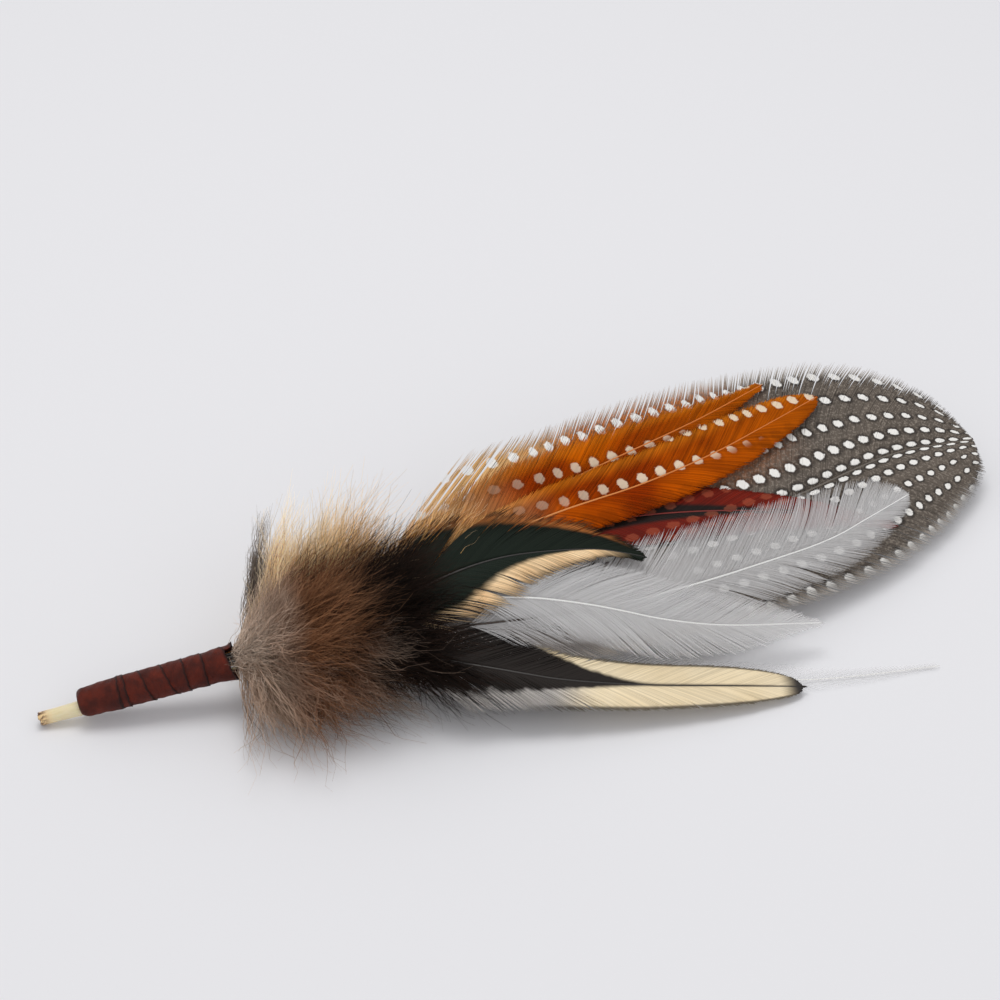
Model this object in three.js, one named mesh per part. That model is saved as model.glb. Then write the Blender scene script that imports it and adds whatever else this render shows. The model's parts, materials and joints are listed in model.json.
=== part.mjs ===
// A quill pen dressed as a feather bundle. One long spotted feather is the pen itself: its bare
// quill end sticks out of a ribbon-wrapped grip. Eight shorter feathers are packed round it inside
// the grip and fan out behind it, and their down makes a ball of fluff where the grip ends.
// It lies on its side on a table: millimetres, +Z up, +X from the quill end to the feather tips.

import * as THREE from 'three';

// ---------- driving dimensions, in millimetres and degrees ----------

const GRIP_REAR_HEIGHT = 10.5;       // height of the grip's axis at its rear end
const GRIP_LENGTH = 33;              // ribbon-wrapped length
const BARE_QUILL_LENGTH = 9;         // quill showing in front of the ribbon

const QUILL_RADIUS = 1.5;            // outside, at the bare end
const QUILL_BORE_RADIUS = 1.1;
const QUILL_BORE_DEPTH = 10;
const QUILL_CLEARANCE = 0.15;        // quill to the inside of the ribbon
const NECK_RADIUS = 1.15;            // the quill where the other feathers lie on it
const NECK_CLEARANCE = 0.1;          // to the circle that the stems round it reach
const NECK_START = 8;                // from the front rim to where the narrow part begins
const SWELL_FADE = 12;               // how fast the neck thins into the shaft behind the grip

const RIBBON_CLEARANCE = 0.23;       // ribbon to thread
const RIBBON_THICKNESS = 0.32;
const RIBBON_STEP = 0.14;            // each turn stands this proud of the one under it
const RIBBON_PITCH = 3.9;
const RIBBON_FIRST_TURN = 8.5;       // the plain stretch at the front
const RIBBON_FLARE = 0.45;           // the last turn opens out over the feathers
const RIBBON_TAPER = 0.2;            // the grip grows this much from front to rear

const THREAD_RADIUS = 0.15;
const THREAD_TURNS = 5;
const THREAD_START = 12;             // from the grip's rear end to the first turn
const THREAD_CLEARANCE = 0.12;       // thread to bundle

const STEM_RADIUS = 0.42;            // the short feathers' quills inside the grip
const STEM_CLEARANCE = 0.15;         // one stem to the next, and to the neck
const STEM_SETBACK = 1.8;            // from where the neck begins to the end of the longest stem
const STEM_STAGGER = 0.9;            // each next stem reaches this much further in
const SADDLE_ANGLE = 19;             // the two stems lying on the neck, from straight above it

const FAN_RISE = 0.1;                // slope of the fan where it leaves the grip
const FAN_SAG = 0.00115;             // how fast it bends back down to the table
const FAN_SLOPE = 0.3;               // height gained across the fan, front to back
const LAYER_PITCH = 0.9;             // from one feather to the next one lying on it
const TABLE_REST = 0.3;              // lowest height of a vane's middle surface

const VANE_THICKNESS = 0.3;
const VANE_ROOT_GAP = 0.3;           // shaft to vane
const VANE_LEAST_WIDTH = 0.5;
const VANE_END = 0.985;              // share of the shaft's length where the vane stops
const SHAFT_TIP_RADIUS = 0.16;

const FLUFF_START = 1.6;             // behind the grip's rear end
const FLUFF_LENGTH = 33;
const FLUFF_HALF_WIDTH = 21;
const FLUFF_CENTRE_Y = 3;
const FLUFF_TOP_THICKNESS = 11;
const FLUFF_LEAST_THICKNESS = 1;     // at the rim of the oval
const FLUFF_CLEARANCE = 0.35;
const BACK_TUFT = new THREE.Vector3(10, 6, 9);       // half sizes of the two tufts at the back
const BACK_TUFT_X = 22;
const SIDE_TUFT = new THREE.Vector3(4.5, 4.5, 6);
const SIDE_TUFT_HEIGHT = 9.6;        // of its middle

const SHAFT_SIDES = 6;
const SHAFT_STEPS = 24;
const QUILL_SIDES = 12;
const VANE_ROWS = 13;
const VANE_ROW_CROWDING = 1.7;       // above 1, rows lie closer together towards the tip
const VANE_COLUMNS = 3;
const RIBBON_SIDES = 28;
const THREAD_STEPS_PER_TURN = 10;
const PAD_ROWS = 11;
const PAD_COLUMNS = 9;
const PAD_RIM = 0.07;                // share of a half turn left off at each edge of the oval

// ---------- the feathers ----------
// path: points (x, y) on the fan, behind the grip's rear end; the last is the tip.
// slot or saddle: where the stem lies in the bundle, as an angle from +Y on its outer ring, or as
// a side of the neck it lies on. The spotted feather has neither: its quill is the core.
// vaneFrom: x where the vanes begin. Each vane: width, where it is widest, how wide it starts,
// two numbers for the tip's roundness, and the loose flare at its base.

const FEATHERS = [
  {
    name: 'spotted', layer: 0, baseRadius: 0.62, colour: 0x56504a,
    path: [[36, 8], [57, 10.5], [80, 13.6], [103, 20], [125, 28], [154, 42.5], [174.5, 49]],
    vaneFrom: 38,
    upper: { width: 34, belly: 0.45, start: 0.8, round: 2.3, power: 0.5, flare: 0 },
    lower: { width: 23, belly: 0.6, start: 0.93, round: 2.3, power: 0.5, flare: 0 },
  },
  {
    name: 'red', layer: 1, saddle: 1, colour: 0x5e1410, shaftColour: 0x963228,
    path: [[38, 10.5], [60, 16.5], [81, 21.5], [100, 23.3], [118, 23.7], [133, 23.3], [148, 21.5]],
    vaneFrom: 46,
    upper: { width: 6.8, belly: 0.5, start: 0.6, round: 1.2, power: 0.8, flare: 0 },
    lower: { width: 7.5, belly: 0.45, start: 0.7, round: 1.2, power: 0.8, flare: 0 },
  },
  {
    name: 'orange_long', layer: 2, slot: 6, colour: 0xbe5a0a, shaftColour: 0xd07828,
    path: [[40, 15], [60, 24], [84, 35], [109, 47], [126, 57]],
    vaneFrom: 45,
    upper: { width: 9.5, belly: 0.2, start: 0.7, round: 1.3, power: 0.9, flare: 0 },
    lower: { width: 6.5, belly: 0.3, start: 0.7, round: 1.5, power: 0.8, flare: 0 },
  },
  {
    name: 'orange_short', layer: 3, slot: 40, colour: 0xb4550a, shaftColour: 0xd07828,
    path: [[42, 12.8], [73, 23], [92, 29], [110, 37], [124, 45], [138, 53.6]],
    vaneFrom: 46,
    upper: { width: 7.2, belly: 0.5, start: 0.6, round: 2.5, power: 0.6, flare: 0 },
    lower: { width: 6.3, belly: 0.4, start: 0.7, round: 2.2, power: 0.5, flare: 0 },
  },
  {
    name: 'white_long', layer: 2, saddle: -1, colour: 0xdcdcdc, shaftColour: 0xf0f0ee,
    path: [[40, -2], [67, -1.5], [85, 1], [99, 4.5], [113, 9], [131, 16], [142, 22.5], [153, 29.5]],
    vaneFrom: 48,
    upper: { width: 13, belly: 0.4, start: 0.5, round: 3.5, power: 0.5, flare: 0 },
    lower: { width: 8.3, belly: 0.5, start: 0.6, round: 2.2, power: 0.6, flare: 0 },
  },
  {
    name: 'white_short', layer: 4, slot: 107, colour: 0xdedede, shaftColour: 0xf0f0ee,
    path: [[40, 2.8], [60, 1.8], [76, -1.8], [88, -5.5], [100, -7.5], [123, -7]],
    vaneFrom: 47,
    upper: { width: 10.3, belly: 0.45, start: 0.45, round: 2, power: 1, flare: 0 },
    lower: { width: 9.4, belly: 0.5, start: 0.5, round: 1.3, power: 1, flare: 0 },
  },
  {
    name: 'white_low', layer: -1, slot: 174, colour: 0xe6e4dc, shaftColour: 0xf0efe8,
    path: [[40, -6.5], [60, -9.5], [82, -12.5], [99, -15.5], [116, -17], [131, -17.7], [146, -17.7]],
    vaneFrom: 66,
    upper: { width: 3.2, belly: 0.6, start: 0.7, round: 1.6, power: 0.9, flare: 0 },
    lower: { width: 3.2, belly: 0.6, start: 0.7, round: 1.6, power: 0.9, flare: 0 },
  },
  {
    name: 'green', layer: 5, slot: 73, colour: 0x1e2e2a, shaftColour: 0x2c3a38,
    path: [[31, 3.2], [40, 6], [48.5, 9], [57.5, 11], [66, 11.6], [79, 11.2], [88, 8.9]],
    vaneFrom: 38,
    upper: { width: 12.5, belly: 0.12, start: 0.9, round: 1.4, power: 0.8, flare: 0 },
    lower: { width: 11.3, belly: 0.22, start: 0.85, round: 1.1, power: 1.7, flare: 0 },
  },
  {
    name: 'cream', layer: 1, slot: 140, colour: 0xe1cda5, shaftColour: 0x4a4644,
    path: [[33, -5], [39, -7.5], [53, -12.3], [65, -16], [81, -18.6], [98, -19.7], [115.4, -20.2]],
    vaneFrom: 44,
    upper: { width: 4.7, belly: 0.6, start: 1, round: 3, power: 0.5, flare: 6 },
    lower: { width: 5.4, belly: 0.4, start: 1, round: 2.4, power: 0.5, flare: 8 },
  },
];

// ---------- materials ----------

function paint(colour, roughness, metalness = 0) {
  return new THREE.MeshStandardMaterial({ color: colour, roughness, metalness });
}

const RIBBON_PAINT = paint(0x5a2a20, 0.55);
const THREAD_PAINT = paint(0xd8c8a8, 0.8);
const TAUPE_DOWN = paint(0x6e5a4e, 0.95);
const TAN_DOWN = paint(0xd7b991, 0.95);
const GREY_DOWN = paint(0x8a7c70, 0.95);
const QUILL_PAINT = paint(0xe1d7b4, 0.45);

// ---------- closed bodies from rings and grids ----------

function bodyFrom(points, triangles) {
  const geometry = new THREE.BufferGeometry();
  const numbers = points.flatMap((point) => [point.x, point.y, point.z]);
  geometry.setAttribute('position', new THREE.Float32BufferAttribute(numbers, 3));
  geometry.setIndex(triangles);
  geometry.computeVertexNormals();
  return geometry;
}

// Rings of equal count, skinned one to the next and closed by a fan at each end.
// Seen along the rings' own order, each ring runs anticlockwise when looked at from its far end.
function loft(rings) {
  const sides = rings[0].length;
  const points = rings.flat();
  const triangles = [];
  for (let i = 0; i + 1 < rings.length; i++) {
    for (let j = 0; j < sides; j++) {
      const a = i * sides + j;
      const b = i * sides + (j + 1) % sides;
      triangles.push(a, b, b + sides, a, b + sides, a + sides);
    }
  }
  const last = (rings.length - 1) * sides;
  const startHub = points.push(middleOf(rings[0])) - 1;
  const endHub = points.push(middleOf(rings.at(-1))) - 1;
  for (let j = 0; j < sides; j++) {
    const next = (j + 1) % sides;
    triangles.push(startHub, next, j);
    triangles.push(endHub, last + j, last + next);
  }
  return bodyFrom(points, triangles);
}

function middleOf(ring) {
  const middle = new THREE.Vector3();
  ring.forEach((point) => middle.add(point));
  return middle.divideScalar(ring.length);
}

// A sheet with a top and a bottom grid of the same rows and columns, closed all round its edge.
// Rows run along +X and columns along +Y when the grid is flat.
function slab(top, bottom) {
  const rows = top.length;
  const columns = top[0].length;
  const points = [...top.flat(), ...bottom.flat()];
  const lower = rows * columns;
  const at = (i, j) => i * columns + j;
  const triangles = [];
  const quad = (a, b, c, d) => triangles.push(a, b, c, a, c, d);
  for (let i = 0; i + 1 < rows; i++) {
    for (let j = 0; j + 1 < columns; j++) {
      quad(at(i, j), at(i + 1, j), at(i + 1, j + 1), at(i, j + 1));
      quad(lower + at(i, j), lower + at(i, j + 1), lower + at(i + 1, j + 1), lower + at(i + 1, j));
    }
    quad(at(i, 0), lower + at(i, 0), lower + at(i + 1, 0), at(i + 1, 0));
    const edge = columns - 1;
    quad(at(i, edge), at(i + 1, edge), lower + at(i + 1, edge), lower + at(i, edge));
  }
  for (let j = 0; j + 1 < columns; j++) {
    const end = rows - 1;
    quad(at(0, j), at(0, j + 1), lower + at(0, j + 1), lower + at(0, j));
    quad(at(end, j), lower + at(end, j), lower + at(end, j + 1), at(end, j + 1));
  }
  return bodyFrom(points, triangles);
}

function circleAt(curve, share, radius, sides) {
  const centre = curve.getPointAt(share);
  const along = curve.getTangentAt(share);
  const across = new THREE.Vector3(0, 0, 1).cross(along).normalize();
  const over = along.clone().cross(across);
  const ring = [];
  for (let j = 0; j < sides; j++) {
    const angle = 2 * Math.PI * j / sides;
    ring.push(centre.clone()
      .addScaledVector(across, radius * Math.cos(angle))
      .addScaledVector(over, radius * Math.sin(angle)));
  }
  return ring;
}

// ---------- the packing inside the grip ----------

// Two stems lie side by side on the neck, and the others in a ring round those two. The neck's
// axis lies below the grip axis by just what lets the neck and that ring fill one circle.
const SADDLE_REACH = NECK_RADIUS + STEM_CLEARANCE + STEM_RADIUS;
const SADDLE_ACROSS = SADDLE_REACH * Math.sin(THREE.MathUtils.degToRad(SADDLE_ANGLE));
const SADDLE_RISE = SADDLE_REACH * Math.cos(THREE.MathUtils.degToRad(SADDLE_ANGLE));
const RING_LEAD = NECK_RADIUS + NECK_CLEARANCE - 3 * STEM_RADIUS - STEM_CLEARANCE;
const NECK_DROP = (SADDLE_REACH ** 2 - RING_LEAD ** 2) / (2 * (RING_LEAD + SADDLE_RISE));
const BUNDLE_RADIUS = NECK_DROP + NECK_RADIUS + NECK_CLEARANCE;
const OUTER_SLOT = BUNDLE_RADIUS - STEM_RADIUS;
const STEM_REACH = GRIP_LENGTH - NECK_START - STEM_SETBACK;
const THREAD_WINDING = BUNDLE_RADIUS + THREAD_CLEARANCE + THREAD_RADIUS;
const RIBBON_INNER_RADIUS = THREAD_WINDING + THREAD_RADIUS + RIBBON_CLEARANCE;
const QUILL_DROP = RIBBON_INNER_RADIUS - QUILL_CLEARANCE - QUILL_RADIUS;

// ---------- the fan and the grip as frames of reference ----------

// Height of the fan's surface, where the spotted feather lies.
function fanMiddle(x, y) {
  return GRIP_REAR_HEIGHT + FAN_RISE * x - FAN_SAG * x * x + FAN_SLOPE * y;
}

// Each layer of feathers lies one pitch higher, and close to the table it eases out level.
function fanHeight(x, y, layer) {
  const spare = fanMiddle(x, y) + layer * LAYER_PITCH - TABLE_REST;
  return TABLE_REST + (spare + Math.hypot(spare, TABLE_REST)) / 2;
}

// The grip leans so that its rear end is held up and the bare quill end just touches the table.
function gripTilt() {
  const reach = GRIP_LENGTH + BARE_QUILL_LENGTH;
  const depth = QUILL_DROP + QUILL_RADIUS;
  return Math.asin(GRIP_REAR_HEIGHT / Math.hypot(reach, depth)) - Math.atan(depth / reach);
}

// A point given along, across and above the grip's axis, with 0 along at the grip's rear end.
function inGrip(along, across, above) {
  const tilt = gripTilt();
  const x = along * Math.cos(tilt) - above * Math.sin(tilt);
  const z = along * Math.sin(tilt) + above * Math.cos(tilt);
  return new THREE.Vector3(x, across, GRIP_REAR_HEIGHT + z);
}

// ---------- shafts ----------

function slotPlace(feather) {
  if (feather.saddle) return [feather.saddle * SADDLE_ACROSS, SADDLE_RISE - NECK_DROP];
  const angle = THREE.MathUtils.degToRad(feather.slot);
  return [OUTER_SLOT * Math.cos(angle), OUTER_SLOT * Math.sin(angle)];
}

function fanPoints(feather) {
  return feather.path.map(([x, y]) => new THREE.Vector3(x, y, fanHeight(x, y, feather.layer)));
}

function stemCurve(feather, reach) {
  const [across, above] = slotPlace(feather);
  const inside = [-reach, -reach / 2, 0].map((along) => inGrip(along, across, above));
  return new THREE.CatmullRomCurve3([...inside, ...fanPoints(feather)], false, 'centripetal');
}

function stemShaft(feather, order) {
  const curve = stemCurve(feather, STEM_REACH - (FEATHERS.length - 1 - order) * STEM_STAGGER);
  const radiusAt = (share) => THREE.MathUtils.lerp(STEM_RADIUS, SHAFT_TIP_RADIUS, share);
  const rings = [];
  for (let i = 0; i <= SHAFT_STEPS; i++) {
    const share = i / SHAFT_STEPS;
    rings.push(circleAt(curve, share, radiusAt(share), SHAFT_SIDES));
  }
  return { curve, radiusAt, geometry: loft(rings) };
}

// The spotted feather's own quill: bare and hollow in front, narrower where the stems lie on it.
function quillCurve(feather) {
  const front = -(GRIP_LENGTH + BARE_QUILL_LENGTH);
  const neck = -GRIP_LENGTH + NECK_START;
  const inside = [
    inGrip(front, 0, -QUILL_DROP),
    inGrip(front + BARE_QUILL_LENGTH / 2, 0, -QUILL_DROP),
    inGrip(-GRIP_LENGTH, 0, -QUILL_DROP),
    inGrip(neck, 0, -NECK_DROP),
    inGrip(neck / 2, 0, -NECK_DROP),
    inGrip(0, 0, -NECK_DROP),
  ];
  return new THREE.CatmullRomCurve3([...inside, ...fanPoints(feather)], false, 'centripetal');
}

function quillRadiusAt(distance, length, baseRadius) {
  const rim = BARE_QUILL_LENGTH;
  const neck = rim + NECK_START;
  const rear = rim + GRIP_LENGTH;
  if (distance < rim) return QUILL_RADIUS;
  if (distance < neck) return THREE.MathUtils.mapLinear(distance, rim, neck, QUILL_RADIUS, NECK_RADIUS);
  if (distance < rear) return NECK_RADIUS;
  const freeShare = (distance - rear) / (length - rear);
  const swell = (NECK_RADIUS - baseRadius) * Math.exp(-freeShare * SWELL_FADE);
  return THREE.MathUtils.lerp(baseRadius, SHAFT_TIP_RADIUS, freeShare) + swell;
}

function quillShaft(feather) {
  const curve = quillCurve(feather);
  const length = curve.getLength();
  const rim = BARE_QUILL_LENGTH;
  const stations = [0, rim / 2, rim, rim + NECK_START / 2, rim + NECK_START];
  const rest = length - stations.at(-1);
  for (let i = 1; i <= SHAFT_STEPS; i++) stations.push(length - rest * (1 - i / SHAFT_STEPS));
  const radiusAt = (share) => quillRadiusAt(share * length, length, feather.baseRadius);
  const boreFull = QUILL_BORE_DEPTH - 2 * QUILL_BORE_RADIUS;
  const bore = [
    circleAt(curve, QUILL_BORE_DEPTH / length, QUILL_BORE_RADIUS / 2, QUILL_SIDES),
    circleAt(curve, boreFull / length, QUILL_BORE_RADIUS, QUILL_SIDES),
    circleAt(curve, 0, QUILL_BORE_RADIUS, QUILL_SIDES),
  ];
  const outside = stations.map((distance) => {
    const share = Math.min(distance / length, 1);
    return circleAt(curve, share, radiusAt(share), QUILL_SIDES);
  });
  return { curve, radiusAt, geometry: loft([...bore, ...outside]) };
}

// ---------- vanes ----------

function vaneWidth(shape, share) {
  const flare = shape.flare * (1 - share) ** 4;
  if (share < shape.belly) {
    const swell = Math.sin(Math.PI / 2 * share / shape.belly);
    return shape.width * (shape.start + (1 - shape.start) * swell) + flare;
  }
  const past = (share - shape.belly) / (1 - shape.belly);
  return shape.width * (1 - past ** shape.round) ** shape.power + flare;
}

function shareAtX(curve, x) {
  let low = 0;
  let high = 1;
  for (let i = 0; i < 30; i++) {
    const middle = (low + high) / 2;
    if (curve.getPointAt(middle).x < x) low = middle;
    else high = middle;
  }
  return low;
}

// One side's web of barbs as a thin sheet lying on the fan's surface. side is +1 above the
// shaft (towards +Y) and -1 below it.
function vane(feather, shaft, shape, side) {
  const from = shareAtX(shaft.curve, feather.vaneFrom);
  const top = [];
  const bottom = [];
  for (let i = 0; i < VANE_ROWS; i++) {
    const share = VANE_END * (1 - (1 - i / (VANE_ROWS - 1)) ** VANE_ROW_CROWDING);
    const onShaft = THREE.MathUtils.lerp(from, 1, share);
    const centre = shaft.curve.getPointAt(onShaft);
    const along = shaft.curve.getTangentAt(onShaft).setZ(0).normalize();
    const rootReach = shaft.radiusAt(onShaft) + VANE_ROOT_GAP;
    const width = Math.max(vaneWidth(shape, share), rootReach + VANE_LEAST_WIDTH);
    const upperRow = [];
    const lowerRow = [];
    for (let j = 0; j < VANE_COLUMNS; j++) {
      const reach = THREE.MathUtils.lerp(rootReach, width, j / (VANE_COLUMNS - 1)) * side;
      const x = centre.x - along.y * reach;
      const y = centre.y + along.x * reach;
      const z = fanHeight(x, y, feather.layer);
      upperRow.push(new THREE.Vector3(x, y, z + VANE_THICKNESS / 2));
      lowerRow.push(new THREE.Vector3(x, y, z - VANE_THICKNESS / 2));
    }
    top.push(side > 0 ? upperRow : upperRow.reverse());
    bottom.push(side > 0 ? lowerRow : lowerRow.reverse());
  }
  return slab(top, bottom);
}

// ---------- the grip ----------

// The ribbon, wound from the front to the rear: a tube of overlapping turns, each a shallow cone.
function ribbonWrap() {
  const outline = [];
  const turnEnds = [];
  for (let end = RIBBON_FIRST_TURN; end < GRIP_LENGTH - 1; end += RIBBON_PITCH) turnEnds.push(end);
  turnEnds.push(GRIP_LENGTH);
  const outer = (along) => {
    const flare = RIBBON_FLARE * Math.max(0, (along - GRIP_LENGTH + 3) / 3) ** 2;
    return RIBBON_INNER_RADIUS + RIBBON_THICKNESS + RIBBON_TAPER * along / GRIP_LENGTH + flare;
  };
  let begin = 0;
  for (const end of turnEnds) {
    outline.push(new THREE.Vector2(outer(begin), begin - GRIP_LENGTH));
    outline.push(new THREE.Vector2(outer(end) + RIBBON_STEP, end - GRIP_LENGTH));
    begin = end;
  }
  outline.push(new THREE.Vector2(RIBBON_INNER_RADIUS, 0));
  outline.push(new THREE.Vector2(RIBBON_INNER_RADIUS, -GRIP_LENGTH));
  outline.push(outline[0].clone());
  const geometry = new THREE.LatheGeometry(outline, RIBBON_SIDES);
  geometry.rotateZ(-Math.PI / 2);
  return geometry;
}

// Waxed thread that ties the stems to the quill before the ribbon goes on.
function threadLashing() {
  const pitch = THREAD_RADIUS * 4;
  const points = [];
  const steps = THREAD_TURNS * THREAD_STEPS_PER_TURN;
  for (let i = 0; i <= steps; i++) {
    const turns = i / THREAD_STEPS_PER_TURN;
    const angle = 2 * Math.PI * turns;
    const along = -THREAD_START + pitch * turns;
    const y = THREAD_WINDING * Math.cos(angle);
    const z = THREAD_WINDING * Math.sin(angle);
    points.push(new THREE.Vector3(along, y, z));
  }
  const section = new THREE.Shape();
  section.absarc(0, 0, THREAD_RADIUS, 0, 2 * Math.PI, false);
  return new THREE.ExtrudeGeometry(section, {
    extrudePath: new THREE.CatmullRomCurve3(points),
    steps,
    curveSegments: 3,
    bevelEnabled: false,
  });
}

// ---------- the down ----------

// The shafts leave the grip in a round bundle and spread out in layers: above and below this
// space the down is free.
function bundleSpace(x) {
  const share = THREE.MathUtils.clamp(x / (FLUFF_START + FLUFF_LENGTH), 0, 1);
  const bundleTop = BUNDLE_RADIUS + FLUFF_CLEARANCE;
  const bundleBottom = NECK_DROP + NECK_RADIUS + FLUFF_CLEARANCE;
  const layers = FEATHERS.map((feather) => feather.layer);
  const topLayer = Math.max(...layers) * LAYER_PITCH + STEM_RADIUS;
  const bottomLayer = Math.min(...layers) * LAYER_PITCH - NECK_RADIUS;
  return {
    above: THREE.MathUtils.lerp(bundleTop, topLayer + 2 * FLUFF_CLEARANCE, share),
    below: THREE.MathUtils.lerp(bundleBottom, FLUFF_CLEARANCE - bottomLayer, share),
  };
}

// From -1 to 1 over the oval, closer together towards the rim and stopping a little short of it.
function ovalStation(i, count) {
  return -Math.cos(Math.PI * (PAD_RIM + (1 - 2 * PAD_RIM) * i / (count - 1)));
}

// An oval sheet of down in plan, with its own heights above and below.
function fluffPad(topHeight, bottomHeight) {
  const top = [];
  const bottom = [];
  for (let i = 0; i < PAD_ROWS; i++) {
    const u = ovalStation(i, PAD_ROWS);
    const x = FLUFF_START + FLUFF_LENGTH * (u + 1) / 2;
    const halfWidth = padHalfWidth(x);
    const upperRow = [];
    const lowerRow = [];
    for (let j = 0; j < PAD_COLUMNS; j++) {
      const v = ovalStation(j, PAD_COLUMNS);
      const y = FLUFF_CENTRE_Y + halfWidth * v;
      const dome = Math.sqrt((1 - u * u) * (1 - v * v));
      upperRow.push(new THREE.Vector3(x, y, topHeight(x, y, dome)));
      lowerRow.push(new THREE.Vector3(x, y, bottomHeight(x, y, dome)));
    }
    top.push(upperRow);
    bottom.push(lowerRow);
  }
  return slab(top, bottom);
}

function fluffTop() {
  const floor = (x, y) => fanMiddle(x, y) + bundleSpace(x).above;
  const thickness = (dome) => FLUFF_LEAST_THICKNESS + FLUFF_TOP_THICKNESS * dome;
  return fluffPad((x, y, dome) => floor(x, y) + thickness(dome), floor);
}

function fluffUnder() {
  const roof = (x, y) => fanMiddle(x, y) - bundleSpace(x).below;
  return fluffPad((x, y) => Math.max(FLUFF_LEAST_THICKNESS, roof(x, y)), () => 0);
}

// Half the width of the oval of down at x.
function padHalfWidth(x) {
  const u = 2 * (x - FLUFF_START) / FLUFF_LENGTH - 1;
  return FLUFF_HALF_WIDTH * Math.sqrt(1 - u * u);
}

// An egg-shaped tuft that stands against the far side of the oval.
function tuft(radii) {
  const geometry = new THREE.SphereGeometry(1, 14, 9);
  geometry.scale(radii.x, radii.y, radii.z);
  return geometry;
}

// Where a tuft's middle goes so that it clears the oval.
function besidePad(x, radii, z) {
  const widest = Math.min(x + radii.x, FLUFF_START + FLUFF_LENGTH / 2);
  const rim = FLUFF_CENTRE_Y + padHalfWidth(widest) * Math.cos(Math.PI * PAD_RIM);
  return new THREE.Vector3(x, rim + FLUFF_CLEARANCE + radii.y, z);
}

// ---------- assembly ----------

function add(group, name, geometry, material) {
  const mesh = new THREE.Mesh(geometry, material);
  mesh.name = name;
  group.add(mesh);
  return mesh;
}

const part = new THREE.Group();
const lying = new THREE.Group();
part.add(lying);

const grip = new THREE.Group();
grip.position.z = GRIP_REAR_HEIGHT;
grip.rotation.y = -gripTilt();
lying.add(grip);
add(grip, 'ribbon_wrap', ribbonWrap(), RIBBON_PAINT);
add(grip, 'thread_lashing', threadLashing(), THREAD_PAINT);

FEATHERS.forEach((feather, order) => {
  const isQuill = feather.baseRadius !== undefined;
  const shaft = isQuill ? quillShaft(feather) : stemShaft(feather, order);
  const shaftPaint = isQuill ? QUILL_PAINT : paint(feather.shaftColour, 0.5);
  const vanePaint = paint(feather.colour, 0.8);
  add(lying, `${feather.name}_shaft`, shaft.geometry, shaftPaint);
  add(lying, `${feather.name}_vane_upper`, vane(feather, shaft, feather.upper, 1), vanePaint);
  add(lying, `${feather.name}_vane_lower`, vane(feather, shaft, feather.lower, -1), vanePaint);
});

add(lying, 'fluff_top', fluffTop(), TAUPE_DOWN);
add(lying, 'fluff_under', fluffUnder(), TAUPE_DOWN);
const sideTuftX = BACK_TUFT_X - BACK_TUFT.x - SIDE_TUFT.x - FLUFF_CLEARANCE;
add(lying, 'fluff_back', tuft(BACK_TUFT), TAN_DOWN)
  .position.copy(besidePad(BACK_TUFT_X, BACK_TUFT, BACK_TUFT.z));
add(lying, 'fluff_tuft', tuft(SIDE_TUFT), GREY_DOWN)
  .position.copy(besidePad(sideTuftX, SIDE_TUFT, SIDE_TUFT_HEIGHT));

// The origin goes under the middle of the part's box, on the table.
lying.updateMatrixWorld(true);
const box = new THREE.Box3().setFromObject(lying, true);
lying.position.set(-(box.min.x + box.max.x) / 2, -(box.min.y + box.max.y) / 2, -box.min.z);

export default part;
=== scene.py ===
import json
import math

import bpy
import numpy as np
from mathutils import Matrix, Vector

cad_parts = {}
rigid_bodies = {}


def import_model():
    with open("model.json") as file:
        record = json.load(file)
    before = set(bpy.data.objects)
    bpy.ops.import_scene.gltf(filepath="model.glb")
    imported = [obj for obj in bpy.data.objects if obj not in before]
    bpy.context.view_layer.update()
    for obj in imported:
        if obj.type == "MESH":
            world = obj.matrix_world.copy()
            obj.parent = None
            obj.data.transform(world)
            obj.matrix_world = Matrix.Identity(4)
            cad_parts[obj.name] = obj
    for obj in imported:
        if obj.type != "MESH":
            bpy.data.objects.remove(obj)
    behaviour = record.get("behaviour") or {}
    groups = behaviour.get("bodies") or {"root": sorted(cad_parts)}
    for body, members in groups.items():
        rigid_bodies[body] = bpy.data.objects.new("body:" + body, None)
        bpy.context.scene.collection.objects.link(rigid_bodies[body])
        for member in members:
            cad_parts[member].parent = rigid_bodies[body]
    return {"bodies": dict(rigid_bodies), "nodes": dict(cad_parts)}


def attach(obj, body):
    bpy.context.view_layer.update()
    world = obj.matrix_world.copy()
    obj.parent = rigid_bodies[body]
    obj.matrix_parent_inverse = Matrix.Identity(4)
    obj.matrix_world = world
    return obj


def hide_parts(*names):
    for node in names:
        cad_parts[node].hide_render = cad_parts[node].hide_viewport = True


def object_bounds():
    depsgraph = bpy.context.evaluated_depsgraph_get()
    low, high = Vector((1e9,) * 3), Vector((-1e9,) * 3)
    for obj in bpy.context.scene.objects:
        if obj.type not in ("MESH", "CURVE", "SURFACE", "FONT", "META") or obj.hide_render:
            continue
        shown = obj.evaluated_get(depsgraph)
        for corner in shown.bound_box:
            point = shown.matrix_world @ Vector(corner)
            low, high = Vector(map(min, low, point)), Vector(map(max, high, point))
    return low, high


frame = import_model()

MM = 0.001                       # lengths below are in millimetres, meshes in metres
CAD_LOW, CAD_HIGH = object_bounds()
BODY = next(iter(frame["bodies"]))
rng = np.random.default_rng(1729)


# ---------- camera, light and floor ----------

CAMERA_DISTANCE = 0.6773
CAMERA_ELEVATION = 37.0
CAMERA_TURN = 11.04              # degrees that the view is turned towards the quill end
CAMERA_LENS = 108.0
CAMERA_AIM = Vector((-0.0002, 0.0369, 0.0))
SKY_COLOUR = (0.985, 0.98, 1.0, 1)
SKY_STRENGTH = 0.66
FLOOR_COLOUR = (0.80, 0.80, 0.815, 1)
FLOOR_REACH = 3.0                # metres from the middle to each side
FLOOR_DROP = 0.0002              # metres under the lowest solid


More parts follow.
